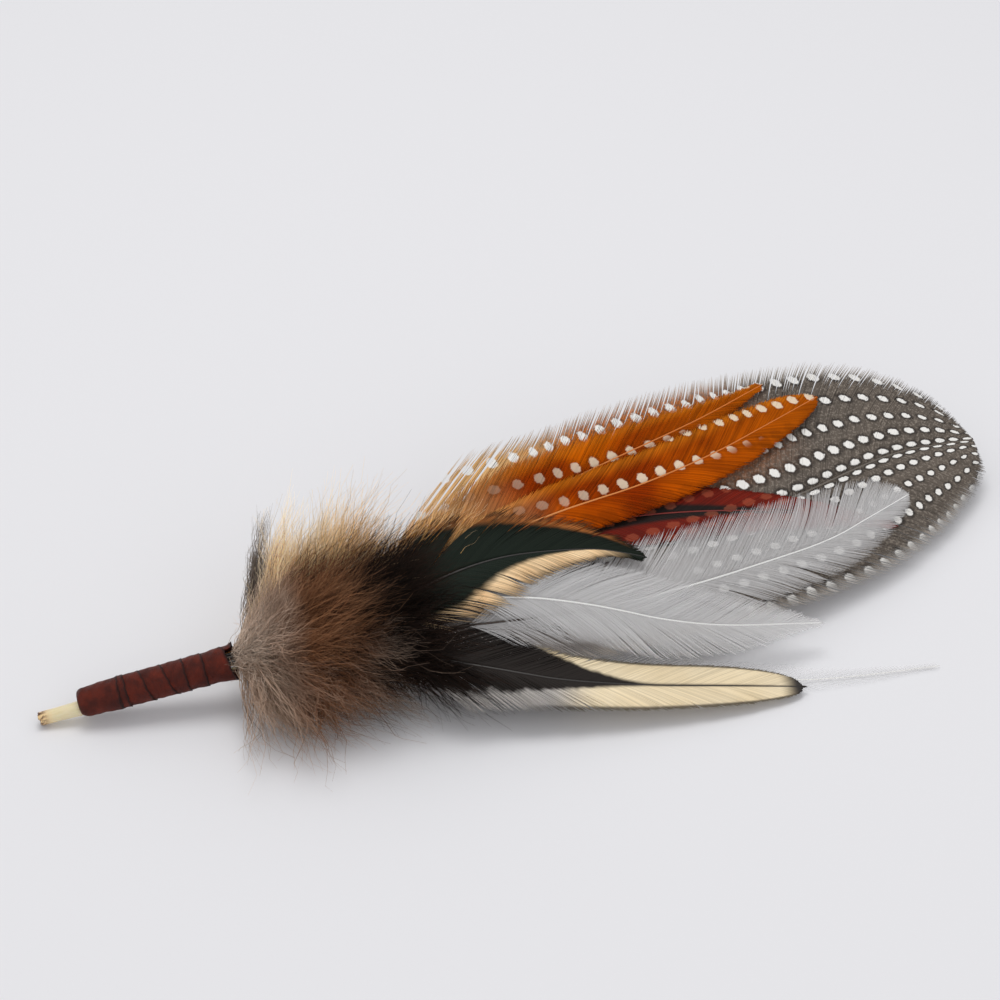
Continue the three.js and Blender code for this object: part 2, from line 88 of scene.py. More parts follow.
def make_camera():
    turn = math.radians(90 - CAMERA_TURN)
    rise = math.radians(CAMERA_ELEVATION)
    ahead = Vector((math.cos(turn) * math.cos(rise), math.sin(turn) * math.cos(rise), -math.sin(rise)))
    camera = bpy.data.objects.new("camera", bpy.data.cameras.new("camera"))
    bpy.context.scene.collection.objects.link(camera)
    camera.data.lens = CAMERA_LENS
    camera.data.sensor_width = 36.0
    camera.data.clip_start = 0.01
    camera.data.clip_end = 20.0
    camera.rotation_mode = "QUATERNION"
    camera.location = CAMERA_AIM - ahead * CAMERA_DISTANCE
    camera.rotation_quaternion = ahead.to_track_quat("-Z", "Y")
    bpy.context.scene.camera = camera


def area_light(name, place, aim, size, power):
    light = bpy.data.lights.new(name, "AREA")
    light.shape = "DISK"
    light.size = size
    light.energy = power
    lamp = bpy.data.objects.new(name, light)
    bpy.context.scene.collection.objects.link(lamp)
    lamp.location = place
    lamp.rotation_mode = "QUATERNION"
    lamp.rotation_quaternion = (Vector(aim) - Vector(place)).to_track_quat("-Z", "Y")


def light_the_scene():
    world = bpy.data.worlds.new("studio")
    bpy.context.scene.world = world
    world.use_nodes = True
    world.node_tree.nodes["Background"].inputs["Color"].default_value = SKY_COLOUR
    world.node_tree.nodes["Background"].inputs["Strength"].default_value = SKY_STRENGTH
    area_light("softbox", place=(-0.05, 0.18, 1.0), aim=(0.02, -0.05, 0.0), size=0.6, power=3.5)
    area_light("front_fill", place=(0.25, -0.9, 0.7), aim=(0.0, 0.0, 0.0), size=0.8, power=1.0)
    bpy.context.scene.view_settings.view_transform = "Standard"
    bpy.context.scene.view_settings.look = "None"


def make_floor():
    corners = [(x * FLOOR_REACH, y * FLOOR_REACH, 0) for x, y in ((-1, -1), (1, -1), (1, 1), (-1, 1))]
    mesh = bpy.data.meshes.new("floor")
    mesh.from_pydata(corners, [], [(0, 1, 2, 3)])
    floor = bpy.data.objects.new("floor", mesh)
    bpy.context.scene.collection.objects.link(floor)
    floor.location.z = CAD_LOW.z - FLOOR_DROP
    material = bpy.data.materials.new("pale_paper")
    material.use_nodes = True
    shader = material.node_tree.nodes["Principled BSDF"]
    shader.inputs["Base Color"].default_value = FLOOR_COLOUR
    shader.inputs["Roughness"].default_value = 0.95
    shader.inputs["Specular IOR Level"].default_value = 0.1
    mesh.materials.append(material)


# ---------- meshes from arrays ----------

def mesh_object(name, points, faces, material, maps):
    """points in mm, faces a list of arrays (M, 3) or (M, 4), maps {name: (points, 2)}."""
    mesh = bpy.data.meshes.new(name)
    corners = np.concatenate([f.ravel() for f in faces]).astype(np.int32)
    counts = np.concatenate([np.full(len(f), f.shape[1]) for f in faces]).astype(np.int32)
    starts = np.concatenate([[0], np.cumsum(counts)[:-1]]).astype(np.int32)
    mesh.vertices.add(len(points))
    mesh.vertices.foreach_set("co", (np.asarray(points, float) * MM).astype(np.float32).ravel())
    mesh.loops.add(len(corners))
    mesh.loops.foreach_set("vertex_index", corners)
    mesh.polygons.add(len(counts))
    mesh.polygons.foreach_set("loop_start", starts)
    mesh.polygons.foreach_set("use_smooth", np.full(len(counts), True))
    for map_name, values in maps.items():
        layer = mesh.uv_layers.new(name=map_name)
        layer.data.foreach_set("uv", np.asarray(values, np.float32)[corners].ravel())
    mesh.update(calc_edges=True)
    mesh.validate()
    mesh.materials.append(material)
    piece = bpy.data.objects.new(name, mesh)
    bpy.context.scene.collection.objects.link(piece)
    return piece


def strands(paths, widths, heights, across):
    """Closed three-sided strands. paths (N, K, 3) are their middle lines, widths and heights
    (N, K), and across (N, K, 3) points along each strand's flat side. Returns points and faces."""
    count, steps = paths.shape[:2]
    along = np.gradient(paths, axis=1)
    along /= np.linalg.norm(along, axis=2, keepdims=True) + 1e-9
    flat = across - (across * along).sum(2, keepdims=True) * along
    flat /= np.linalg.norm(flat, axis=2, keepdims=True) + 1e-9
    up = np.cross(along, flat)
    half = widths[..., None] / 2
    rings = np.stack([paths - flat * half, paths + flat * half, paths + up * heights[..., None]], axis=2)
    index = np.arange(count * steps * 3).reshape(count, steps, 3)
    sides = []
    for a, b in ((0, 1), (1, 2), (2, 0)):
        quad = np.stack([index[:, :-1, a], index[:, :-1, b], index[:, 1:, b], index[:, 1:, a]], axis=-1)
        sides.append(quad.reshape(-1, 4))
    caps = np.concatenate([index[:, 0, ::-1], index[:, -1, :]])
    return rings.reshape(-1, 3), [np.concatenate(sides), caps]


def strand_map(first, second):
    """A coordinate map for strands, from two values for each of their points."""
    first, second = np.broadcast_arrays(first, second)
    return np.stack([np.repeat(first.reshape(-1), 3), np.repeat(second.reshape(-1), 3)], 1)


def frame_along(along):
    """The sideways and upward unit vectors of a tube whose middle line runs along."""
    side = np.cross([0, 0, 1.0], along)
    side /= np.linalg.norm(side, axis=1, keepdims=True)
    return side, np.cross(along, side)


def tube_faces(count, sides):
    """The walls and two end caps of a tube of count rings."""
    index = np.arange(count * sides).reshape(count, sides)
    after = np.roll(index, -1, axis=1)
    walls = np.stack([index[:-1], after[:-1], after[1:], index[1:]], -1).reshape(-1, 4)
    return [walls, index[:1, ::-1], index[-1:, :]]


def tube_map(shares, angle):
    """A coordinate map for a tube: how far along, and how far round."""
    return np.stack([np.repeat(shares, len(angle)), np.tile(angle / (2 * np.pi), len(shares))], 1)


def stand_in(piece, node):
    """Fixes a piece to the body and lets it stand for a CAD node."""
    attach(piece, BODY)
    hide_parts(node)


# ---------- curves recovered from the CAD nodes ----------

def node_points(node):
    flat = np.zeros(len(frame["nodes"][node].data.vertices) * 3, np.float32)
    frame["nodes"][node].data.vertices.foreach_get("co", flat)
    return np.unique(np.round(flat.reshape(-1, 3).astype(float) / MM, 3), axis=0)


def clusters(values, gap):
    """Index groups of sorted values that lie less than gap apart."""
    order = np.argsort(values)
    breaks = np.where(np.diff(values[order]) > gap)[0] + 1
    return np.split(order, breaks)


def hermite(knots, values, at):
    """A smooth curve through values at knots, read at the places in at."""
    knots, values = np.asarray(knots, float), np.asarray(values, float)
    slopes = np.gradient(values, knots, axis=0)
    i = np.clip(np.searchsorted(knots, at) - 1, 0, len(knots) - 2)
    span = knots[i + 1] - knots[i]
    t = ((at - knots[i]) / span)[..., None]
    span = span[..., None]
    return ((2 * t**3 - 3 * t**2 + 1) * values[i] + (t**3 - 2 * t**2 + t) * span * slopes[i]
            + (3 * t**2 - 2 * t**3) * values[i + 1] + (t**3 - t**2) * span * slopes[i + 1])


class Feather:
    """A feather's shaft line and the outer edges of its two vanes, read from its CAD nodes."""

    STEPS = 600
    RING_GAP = 0.9               # mm along X, more than this parts two rings of the shaft
    ROW_GAP = 0.75               # mm along the shaft, the same for rows of the vane
    EDGE_BAND = 0.08             # mm, points this near to the farthest one are on the outer edge
    TIP_SHARE = 0.05             # of the last row's width, at the very tip
    LOOK_AHEAD = 0.5             # mm each way, to find a direction along the shaft

    def __init__(self, name):
        self.name = name
        self.read_shaft()
        self.edges = {+1: self.read_edge("upper"), -1: self.read_edge("lower")}

    def read_shaft(self):
        points = node_points(self.name + "_shaft")
        rings = [points[group] for group in clusters(points[:, 0], self.RING_GAP)]
        middles = np.array([ring.mean(0) for ring in rings])
        radii = np.array([np.linalg.norm(ring - ring.mean(0), axis=1).max() for ring in rings])
        chord = np.concatenate([[0], np.cumsum(np.linalg.norm(np.diff(middles, axis=0), axis=1))])
        even = np.linspace(0, chord[-1], self.STEPS)
        self.line = hermite(chord, middles, even)
        self.radius = np.interp(even, chord, radii)
        steps = np.linalg.norm(np.diff(self.line, axis=0), axis=1)
        self.s = np.concatenate([[0], np.cumsum(steps)])
        self.length = self.s[-1]

    def at(self, s):
        return np.stack([np.interp(s, self.s, self.line[:, k]) for k in range(3)], axis=-1)

    def along(self, s):
        before, after = np.maximum(s - self.LOOK_AHEAD, 0), np.minimum(s + self.LOOK_AHEAD, self.length)
        ahead = self.at(after) - self.at(before)
        return ahead / np.linalg.norm(ahead, axis=-1, keepdims=True)

    def s_at_x(self, x):
        return np.interp(x, self.line[:, 0], self.s)

    def read_edge(self, which):
        """Arc lengths of the vane's rows, and the vector from the shaft to the outer edge there."""
        points = node_points(f"{self.name}_vane_{which}")
        nearest = np.array([np.argmin(np.hypot(*(self.line[:, :2] - p[:2]).T)) for p in points])
        reach = np.hypot(*(self.line[nearest, :2] - points[:, :2]).T)
        rows = [row for row in clusters(self.s[nearest], self.ROW_GAP) if len(row) >= 4]
        s_rows, vectors = [], []
        for row in rows:
            outer = points[row[reach[row] > reach[row].max() - self.EDGE_BAND]].mean(0)
            s_row = self.s[nearest[row]].mean()
            s_rows.append(s_row)
            vectors.append(outer - self.at(s_row))
        s_rows.append(self.length)
        vectors.append(vectors[-1] * self.TIP_SHARE)
        return np.array(s_rows), np.array(vectors)

    def edge(self, side, s):
        """Vector from the shaft line to the vane's outer edge at s."""
        knots, vectors = self.edges[side]
        return hermite(knots, vectors, np.clip(s, knots[0], knots[-1]))

    def width(self, side, s):
        return np.linalg.norm(self.edge(side, s), axis=-1)

    def start(self, side):
        return self.edges[side][0][0]


# ---------- barbs ----------

REACH_TRIES = np.linspace(0.35, 40, 400)     # mm sideways from the shaft
LEAST_HEIGHT = 0.15                          # mm over the table


def reach_to_edge(feather, side, roots, sweep):
    """How far each barb goes sideways before it meets the vane's outline."""
    ends = roots[:, None] + sweep[:, None] * REACH_TRIES
    outline = np.where(ends < feather.length, feather.width(side, np.minimum(ends, feather.length)), 0.0)
    return REACH_TRIES[np.argmax(REACH_TRIES[None, :] >= outline, axis=1)]


def barb_paths(feather, side, look):
    """The middle lines of one vane's barbs, and facts about each point: q runs from 0 at a barb's
    root to 1 at its tip, edge_q is its share of the vane's width and share of the vane's length."""
    start = feather.start(side) - look["root_reach"]
    spacing = look["spacing"]
    count = int((feather.length - start) / spacing)
    roots = start + spacing * (np.arange(count) + rng.uniform(-0.2, 0.2, count))
    share = (roots - start) / (feather.length - start)
    sweep = look["sweep"] * (1 + look["tip_sweep"] * share**5)
    lock = np.cumsum(rng.random(count) < look["lock_rate"])
    lock_turn = rng.normal(0, look["lock_turn"], lock.max() + 1)[lock]
    reach = reach_to_edge(feather, side, roots, sweep)
    steps = look["steps"]
    q = np.linspace(0, 1, steps)[None, :] ** 0.9
    extra = look["fringe"] * rng.uniform(0.2, 1.0, count) * (1 - share**3)
    beyond = 1 + (extra / np.maximum(reach, 1.0))[:, None] * q**3
    lateral = reach[:, None] * q * beyond
    downy = np.clip(1 - share / look["downy"], 0, 1)
    turn = (lock_turn + rng.normal(0, look["stray"], count) * (1 + 6 * downy))[:, None] * q**2
    s = roots[:, None] + reach[:, None] * (sweep[:, None] * q ** look["bend"] * beyond + turn)
    inside = np.clip(s, 0, feather.length)
    edge = feather.edge(side, inside)
    width = np.linalg.norm(edge, axis=-1)
    direction = edge / np.maximum(width, 0.3)[..., None]
    base = feather.at(inside) + feather.along(inside) * (s - inside)[..., None]
    paths = base + direction * lateral[..., None]
    rise = np.clip(lateral / np.maximum(reach, 1)[:, None], 0, 1)
    paths[..., 2] += look["camber"] * 4 * rise * (1 - rise) * np.minimum(reach / 8, 1)[:, None]
    paths[..., 2] += (rng.normal(0, look["ruffle"], lock.max() + 1)[lock])[:, None] * q
    single = rng.normal(0, look["ruffle"] * 0.5, count) + downy * rng.uniform(0, look["fluff"], count)
    paths[..., 2] = np.maximum(paths[..., 2] + single[:, None] * q, LEAST_HEIGHT)
    facts = {
        "q": np.broadcast_to(q, s.shape), "edge_q": lateral / np.maximum(width, 0.8),
        "random": rng.random(count)[:, None], "along": feather.along(inside),
        "share": np.clip((s - start) / (feather.length - start), 0, 1), "downy": downy[:, None],
    }
    return paths, facts


def barb_mesh(feather, side, look, material):
    paths, facts = barb_paths(feather, side, look)
    q = facts["q"]
    spacing = look["spacing"] * look["cover"]
    full = np.clip((1 - q) / (1 - look["loose"] + 1e-6), 0, 1) ** 0.8
    widths = look["hair"] + (spacing - look["hair"]) * full
    widths = widths * np.clip((1.02 - q) * 12, 0.25, 1) * (1 - 0.6 * facts["downy"] * q**0.5)
    heights = np.minimum(widths * 0.45, look["ridge"])
    across = facts["along"] * side
    points, faces = strands(paths, widths, heights, upward(paths, across))
    maps = {
        "Feather": strand_map(facts["share"], 0.5 + 0.5 * side * np.clip(facts["edge_q"], 0, 1)),
        "Barb": strand_map(facts["random"], q),
        **spot_maps(points),
    }
    name = f"{feather.name}_{'upper' if side > 0 else 'lower'}_barbs"
    return mesh_object(name, points, faces, material, maps)


def upward(paths, across):
    """across, turned where needed so that each strand's ridge points up."""
    along = np.gradient(paths, axis=1)
    ridge = np.cross(along, across)
    flip = np.where(ridge[..., 2:3] < 0, -1.0, 1.0)
    return across * flip


# ---------- the spotted feather's pattern, as coordinates ----------

SPOT_PERIOD_ROOT = 7.2           # mm between spots of a row near the root
SPOT_PERIOD_TIP = 3.7
SPOT_ROWS_UPPER = 4.95           # across each vane; the last one of the lower vane is on the margin
SPOT_ROWS_LOWER = 4.6
SPOT_ROW_POWER = 0.72            # rows crowd towards the shaft
SPOT_LEAST_WIDTH = 9.0           # of the vane, for laying out the rows near the tip
SPOT_LEAN = 0.12                 # of a period that each row outwards lies further on
SPOT_BLOCK = 4000                # points placed at a time, to save memory


def spot_maps(points):
    """Where points lie on the spotted feather from above: along in spots, across in rows."""
    feather = SPOTTED
    s_grid = np.linspace(0, feather.length, 700)
    line = feather.at(s_grid)[:, :2]
    nearest = np.zeros(len(points), int)
    for i in range(0, len(points), SPOT_BLOCK):
        block = points[i:i + SPOT_BLOCK, None, :2] - line[None]
        nearest[i:i + SPOT_BLOCK] = np.argmin((block**2).sum(2), axis=1)
    s = s_grid[nearest]
    forward = feather.along(s)[:, :2]
    offset = points[:, :2] - line[nearest]
    side = np.where(forward[:, 0] * offset[:, 1] - forward[:, 1] * offset[:, 0] >= 0, 1, -1)
    distance = np.hypot(*offset.T)
    width = np.where(side > 0, *(np.hypot(*feather.edge(which, s)[:, :2].T) for which in (1, -1)))
    share = np.clip(distance / np.maximum(width, SPOT_LEAST_WIDTH), 0, 1.04)
    period = np.interp(s_grid[:-1], [0, feather.length], [SPOT_PERIOD_ROOT, SPOT_PERIOD_TIP])
    phase_grid = np.concatenate([[0], np.cumsum(np.diff(s_grid) / period)])
    phase = np.interp(s, s_grid, phase_grid)
    row = np.where(side > 0, SPOT_ROWS_UPPER, SPOT_ROWS_LOWER) * share**SPOT_ROW_POWER
    outward = np.clip(share * 2.5, 0, 1)
    along_radius = 0.33 - 0.09 * outward
    across_radius = 0.24 - 0.08 * outward + 0.04 * np.clip((share - 0.85) * 8, 0, 1)
    phase = phase + SPOT_LEAN * side * row
    return {
        "Spots": np.stack([phase, row * side], 1),
        "SpotSize": np.stack([along_radius, across_radius], 1),
    }


# ---------- material building ----------

def srgb(*rgb):
    """A screen colour, 0 to 255, as the linear one that shaders take."""
    shares = [c / 255 for c in rgb]
    return tuple(c / 12.92 if c <= 0.04045 else ((c + 0.055) / 1.055) ** 2.4 for c in shares) + (1.0,)


class Nodes:
    """Short names for building a material's node tree."""

    def __init__(self, name, roughness=0.7, **settings):
        self.material = bpy.data.materials.new(name)
        self.material.use_nodes = True
        self.tree = self.material.node_tree
        self.shader = self.tree.nodes["Principled BSDF"]
        self.shader.inputs["Roughness"].default_value = roughness
        for socket, value in settings.items():
            self.shader.inputs[socket.replace("_", " ")].default_value = value

    def put(self, value, socket):
        if isinstance(value, bpy.types.NodeSocket):
            self.tree.links.new(value, socket)
        else:
            socket.default_value = value

    def uv(self, name):
        node = self.tree.nodes.new("ShaderNodeUVMap")
        node.uv_map = name
        split = self.tree.nodes.new("ShaderNodeSeparateXYZ")
        self.tree.links.new(node.outputs[0], split.inputs[0])
        return split.outputs[0], split.outputs[1]

    def vector(self, x, y, z=0.0):
        node = self.tree.nodes.new("ShaderNodeCombineXYZ")
        for value, socket in zip((x, y, z), node.inputs):
            self.put(value, socket)
        return node.outputs[0]

    def place(self):
        return self.tree.nodes.new("ShaderNodeTexCoord").outputs["Object"]

    def math(self, operation, a, b=0.0):
        node = self.tree.nodes.new("ShaderNodeMath")
        node.operation = operation
        for value, socket in zip((a, b), node.inputs):
            self.put(value, socket)
        return node.outputs[0]

    def times(self, a, b):
        return self.math("MULTIPLY", a, b)

    def plus(self, a, b):
        return self.math("ADD", a, b)

    def minus(self, a, b):
        return self.math("SUBTRACT", a, b)

    def noise(self, vector, scale, detail=3.0, roughness=0.5):
        node = self.tree.nodes.new("ShaderNodeTexNoise")
        self.tree.links.new(vector, node.inputs["Vector"])
        node.inputs["Scale"].default_value = scale
        node.inputs["Detail"].default_value = detail
        node.inputs["Roughness"].default_value = roughness
        return node.outputs[0]

    def step(self, value, low, high):
        """0 below low to 1 above high, smoothly; the other way round if low is the higher."""
        node = self.tree.nodes.new("ShaderNodeMapRange")
        node.interpolation_type = "SMOOTHSTEP"
        self.put(value, node.inputs["Value"])
        flip = low > high
        self.put(min(low, high), node.inputs["From Min"])
        self.put(max(low, high), node.inputs["From Max"])
        node.inputs["To Min"].default_value = 1.0 if flip else 0.0
        node.inputs["To Max"].default_value = 0.0 if flip else 1.0
        return node.outputs[0]

    def mix(self, share, a, b, blend="MIX"):
        node = self.tree.nodes.new("ShaderNodeMix")
        node.data_type = "RGBA"
        node.blend_type = blend
        self.put(share, node.inputs[0])
        self.put(a, node.inputs[6])
        self.put(b, node.inputs[7])
        return node.outputs[2]

    def mottle(self, scale, a, b):
        """Two colours in soft patches."""
        return self.mix(self.noise(self.place(), scale, 2.0), a, b)

    def jitter(self, scale, detail, size):
        """Fine noise round zero, size from end to end."""
        return self.times(self.minus(self.noise(self.place(), scale, detail), 0.5), size)

    def outwards(self, v):
        """0 at the shaft to 1 at a vane's outer edge, from the Feather map's second value."""
        return self.times(self.math("ABSOLUTE", self.minus(v, 0.5)), 2.0)

    def bump(self, height, strength, distance):
        node = self.tree.nodes.new("ShaderNodeBump")
        node.inputs["Strength"].default_value = strength
        node.inputs["Distance"].default_value = distance
        self.put(height, node.inputs["Height"])
        self.tree.links.new(node.outputs[0], self.shader.inputs["Normal"])

    def colour(self, value):
        self.put(value, self.shader.inputs["Base Color"])
        return self.material


def spot_masks(n):
    """The white spots and the dark halos round them."""
    along, row = n.uv("Spots")
    radius_along, radius_across = n.uv("SpotSize")
    row_number = n.math("FLOOR", row)
    shifted = n.plus(along, n.times(n.math("PINGPONG", row_number, 1.0), 0.5))
    wobble = n.noise(n.vector(row_number, n.math("FLOOR", shifted), 3.0), 7.3, 0.0)
    u = n.minus(n.math("FRACT", shifted), 0.5)
    v = n.minus(n.math("FRACT", row), 0.5)
    v = n.plus(v, n.times(n.minus(wobble, 0.5), 0.12))
    ragged = n.jitter(1500.0, 1.0, 0.55)
    du = n.math("DIVIDE", u, radius_along)
    dv = n.math("DIVIDE", v, radius_across)
    distance = n.math("SQRT", n.plus(n.times(du, du), n.times(dv, dv)))
    distance = n.plus(distance, n.times(ragged, distance))
    return n.step(distance, 1.12, 0.82), n.step(distance, 2.0, 1.15)


def barb_shade(n, colour, amount):
    """Makes each barb a little lighter or darker than the next."""
    chance, _ = n.uv("Barb")
    dark, light = (n.mix(1.0, colour, (tone, tone, tone, 1), "MULTIPLY") for tone in (1 - amount, 1 + amount))
    return n.mix(chance, dark, light)


def spotted_material():
    n = Nodes("spotted_barbs", 0.65, Specular_IOR_Level=0.2)
    spots, halos = spot_masks(n)
    u, v = n.uv("Feather")
    ground = n.mottle(90.0, srgb(84, 77, 70), srgb(112, 102, 92))
    speckle = n.step(n.noise(n.place(), 1900.0, 1.0, 0.4), 0.52, 0.64)
    ground = n.mix(n.times(speckle, 0.55), ground, srgb(150, 140, 128))
    ground = n.mix(n.times(halos, 0.85), ground, srgb(48, 42, 38))
    dyed = n.times(n.step(u, 0.76, 0.56), n.step(v, 0.55, 0.75))
    stipple = n.step(n.noise(n.place(), 1300.0, 1.0, 0.4), 0.42, 0.58)
    dyed = n.times(dyed, n.plus(0.45, n.times(stipple, 0.5)))
    ground = n.mix(dyed, ground, srgb(186, 104, 30))
    base = n.times(n.step(u, 0.42, 0.2), n.step(v, 0.55, 0.7))
    ground = n.mix(n.times(base, 0.9), ground, srgb(226, 182, 122))
    smoky = n.times(n.step(u, 0.5, 0.36), n.step(v, 0.5, 0.4))
    ground = n.mix(n.times(smoky, 0.85), ground, srgb(150, 144, 140))
    _, q = n.uv("Barb")
    pale = n.times(n.step(q, 0.86, 1.0), n.step(u, 0.98, 0.9))
    ground = n.mix(n.times(pale, 0.75), ground, srgb(212, 202, 190))
    seen = n.times(spots, n.minus(1.0, n.times(n.step(n.outwards(v), 0.9, 1.0), 0.7)))
    seen = n.times(seen, n.minus(1.0, smoky))
    return n.colour(n.mix(seen, barb_shade(n, ground, 0.16), srgb(243, 241, 236)))


def orange_material(name, deep, bright, clear):
    n = Nodes(name, 0.7, Alpha=clear, Specular_IOR_Level=0.03)
    spots, halos = spot_masks(n)
    u, v = n.uv("Feather")
    colour = n.mix(n.step(n.noise(n.place(), 55.0, 2.0), 0.35, 0.65), deep, bright)
    colour = n.mix(n.times(n.step(u, 0.45, 1.0), 0.5), colour, srgb(186, 100, 10))
    colour = n.mix(n.times(n.step(v, 0.72, 1.0), 0.5), colour, srgb(226, 138, 30))
    colour = n.mix(n.times(n.step(u, 0.36, 0.04), 0.95), colour, srgb(240, 196, 132))
    colour = n.mix(n.times(halos, 0.25), colour, srgb(110, 50, 4))
    shown = n.times(spots, n.times(n.step(u, 0.15, 0.6), n.step(v, 0.2, 0.6)))
    colour = n.mix(n.times(shown, 0.9), barb_shade(n, colour, 0.3), srgb(255, 236, 208))
    return n.colour(colour)


def red_material():
    n = Nodes("red_barbs", 0.5, Specular_IOR_Level=0.12)
    spots, _ = spot_masks(n)
    u, v = n.uv("Feather")
    edge = n.outwards(v)
    band = n.times(n.minus(0.86, u), 0.82)
    centre = n.step(n.minus(edge, band), 0.1, -0.06)
    red = n.mottle(70.0, srgb(84, 14, 4), srgb(122, 28, 8))
    colour = n.mix(centre, red, srgb(30, 21, 18))
    colour = n.mix(n.times(spots, 0.3), barb_shade(n, colour, 0.25), srgb(190, 100, 70))
    return n.colour(colour)


def white_material(name, alpha):
    n = Nodes(name, 0.6, Alpha=alpha, Specular_IOR_Level=0.3)
    colour = n.mottle(60.0, srgb(240, 239, 239), srgb(253, 252, 251))
    return n.colour(barb_shade(n, colour, 0.08))


def green_material():
    n = Nodes("green_barbs", 0.45, Specular_IOR_Level=0.14)
    n.shader.inputs["Specular Tint"].default_value = (0.6, 0.9, 0.75, 1)
    u, v = n.uv("Feather")
    upper = n.step(v, 0.49, 0.51)
    edge = n.outwards(v)
    ragged = n.jitter(400.0, 1.0, 0.12)
    lower_band = n.minus(1.15, n.times(u, 1.3))
    upper_band = n.minus(1.0, n.times(u, 0.3))
    band = n.plus(n.times(upper, upper_band), n.times(n.minus(1.0, upper), lower_band))
    rim = n.step(n.minus(n.plus(edge, ragged), band), -0.1, 0.14)
    dark = n.mottle(80.0, srgb(17, 17, 13), srgb(21, 26, 19))
    tan = n.mottle(120.0, srgb(218, 172, 118), srgb(244, 222, 184))
    tan = n.mix(upper, tan, srgb(176, 108, 54))
    colour = n.mix(n.times(rim, n.step(u, 0.97, 0.82)), dark, tan)
    _, q = n.uv("Barb")
    black_tip = n.times(n.step(q, 0.8, 0.95), n.plus(0.35, n.times(upper, 0.5)))
    colour = n.mix(black_tip, colour, srgb(40, 30, 24))
    colour = n.mix(n.step(u, 0.12, 0.0), colour, srgb(36, 26, 22))
    return n.colour(barb_shade(n, colour, 0.3))


def cream_material():
    n = Nodes("cream_barbs", 0.6, Specular_IOR_Level=0.15)
    u, v = n.uv("Feather")
    edge = n.outwards(v)
    taper = n.step(u, 0.66, 0.26)
    lower = n.step(v, 0.51, 0.49)
    breadth = n.minus(1.15, n.times(lower, 0.6))
    band = n.plus(n.times(taper, breadth), 0.06)
    ragged = n.jitter(500.0, 1.0, 0.3)
    softness = n.times(n.plus(taper, 0.1), ragged)
    stripe = n.step(n.plus(n.minus(edge, band), softness), 0.08, -0.1)
    cream = n.mottle(90.0, srgb(222, 200, 158), srgb(240, 226, 196))
    smoke = n.times(lower, n.step(u, 0.52, 0.4))
    cream = n.mix(smoke, cream, srgb(186, 181, 176))
    colour = n.mix(stripe, cream, srgb(38, 33, 30))
    rim = n.times(n.step(edge, 0.86, 0.97), n.step(u, 0.3, 0.45))
    tip = n.step(u, 0.94, 0.99)
    colour = n.mix(n.math("MAXIMUM", n.times(rim, 0.8), tip), colour, srgb(58, 54, 52))
    return n.colour(barb_shade(n, colour, 0.14))


# ---------- the feathers ----------

# spacing: mm between barbs, of which cover is a barb's width. sweep: mm towards the tip for each mm
# sideways, tip_sweep more at the tip, bend its curve. lock_rate: chance that a barb starts a new lock.
# lock_turn, stray: lean of a lock or a barb. fringe: mm past the vane's edge. camber, ruffle, fluff: mm
# of height. root_reach: mm of barbs below the CAD vane. loose: where a barb starts to thin, down to hair
# (mm). ridge: its greatest height. downy: the share of the vane where barbs are downy.
PLAIN_LOOK = {
    "spacing": 0.42, "cover": 1.35, "sweep": 0.95, "tip_sweep": 1.2, "bend": 0.92, "lock_rate": 0.06,
    "lock_turn": 0.02, "stray": 0.006, "steps": 14, "fringe": 0.5, "camber": 0.5, "ruffle": 0.04,
    "root_reach": 8.0, "loose": 0.8, "hair": 0.07, "ridge": 0.09, "downy": 0.2, "fluff": 0.6,
}

WHITE_LOOK = {
    "lock_turn": 0.06, "lock_rate": 0.08, "ruffle": 0.1, "loose": 0.6, "cover": 0.86, "spacing": 0.36,
    "fringe": 1.4, "stray": 0.012, "root_reach": 0.0, "hair": 0.09,
}

LOOKS = {
    "spotted": {"spacing": 0.34, "steps": 20, "fringe": 2.0, "camber": 0.8, "sweep": 0.9, "downy": 0.08,
                "tip_sweep": 0.8, "bend": 1.2, "hair": 0.05, "lock_turn": 0.01},
    "red": {"sweep": 1.5, "lock_turn": 0.03},
    "orange_long": {"sweep": 1.5, "fringe": 1.6, "lock_turn": 0.05, "loose": 0.6},
    "orange_short": {"sweep": 1.5, "lock_turn": 0.03, "fringe": 0.8},
    "white_long": {**WHITE_LOOK, "sweep": 1.25},
    "white_short": {**WHITE_LOOK, "sweep": 1.4},
    "white_low": {"sweep": 1.8, "lock_turn": 0.08, "spacing": 1.1, "cover": 0.2, "loose": 0.3, "hair": 0.08},
    "green": {"sweep": 1.6, "lock_turn": 0.12, "lock_rate": 0.12, "fringe": 2.0, "loose": 0.55,
              "spacing": 0.34, "root_reach": 16.0, "fluff": 1.5, "stray": 0.02},
    "cream": {"sweep": 1.9, "lock_turn": 0.05, "spacing": 0.32, "root_reach": 16.0, "downy": 0.45,
              "fluff": 1.5},
}


SHAFT_SHARE = 0.9                # of the CAD shaft's radius, so that barbs cover it
FAINT_SHAFT_SHARE = 0.5
SHAFT_SIDES = 12
SHAFT_RINGS = 160


def shaft_mesh(feather, material):
    s = np.linspace(0, feather.length, SHAFT_RINGS)
    share = FAINT_SHAFT_SHARE if feather.name == "white_low" else SHAFT_SHARE
    radius = np.interp(s, feather.s, feather.radius) * share
    side, up = frame_along(feather.along(s))
    angle = 2 * np.pi * np.arange(SHAFT_SIDES) / SHAFT_SIDES
    ring = np.cos(angle)[None, :, None] * side[:, None] + np.sin(angle)[None, :, None] * up[:, None]
    points = (feather.at(s)[:, None] + ring * radius[:, None, None]).reshape(-1, 3)
    maps = {"Shaft": tube_map(s / feather.length, angle)}
    return mesh_object(feather.name + "_rachis", points, tube_faces(SHAFT_RINGS, SHAFT_SIDES), material, maps)


